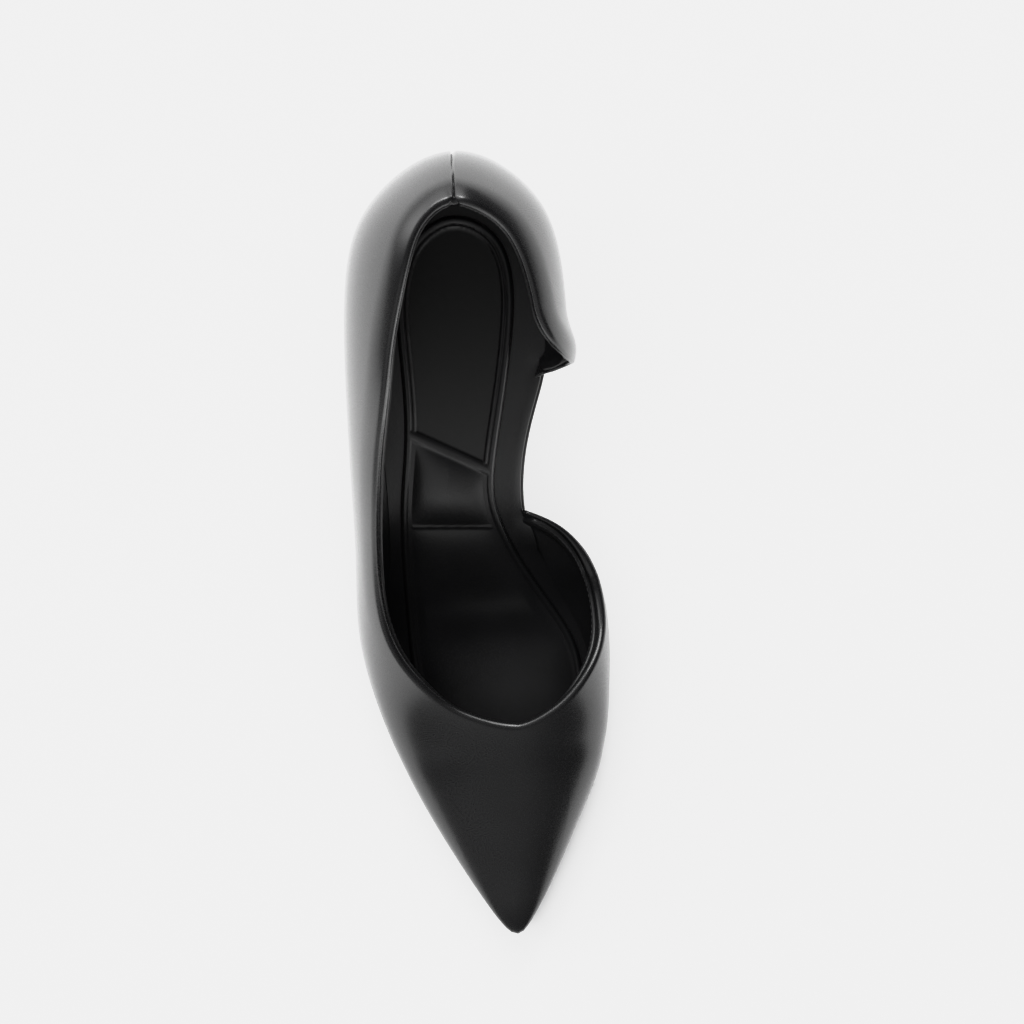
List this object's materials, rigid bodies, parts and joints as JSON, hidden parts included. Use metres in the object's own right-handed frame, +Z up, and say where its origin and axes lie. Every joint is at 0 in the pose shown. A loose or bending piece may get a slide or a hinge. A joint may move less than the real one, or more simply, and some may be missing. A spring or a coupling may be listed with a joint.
{
  "type": "high-heeled court shoe",
  "caption": "Pointed high-heeled court shoe for the right foot, cut away at the inner waist, with a padded footbed and a slim covered heel.",
  "frame": {"origin": "on the floor, under the middle of the shoe's plan", "axes": "+Z up, -Y towards the toe, +Y towards the heel, +X towards the inner side of the right foot"},
  "size_m": [0.0764, 0.2332, 0.1463],
  "materials": {
    "upper_leather": "smooth black leather, half matt, fine grain",
    "insole_cover": "black lining leather, matt",
    "sock_leather": "soft black leather over padding",
    "sole_leather": "black sole leather, satin, darkened edge",
    "heel_cover": "smooth black leather glued over the heel",
    "top_piece_rubber": "hard black rubber, matt"
  },
  "bodies": {
    "root": {"upper": "upper_leather", "insole": "insole_cover", "sock_lining": "sock_leather", "outsole": "sole_leather", "heel": "heel_cover", "top_piece": "top_piece_rubber"}
  },
  "joints": []
}
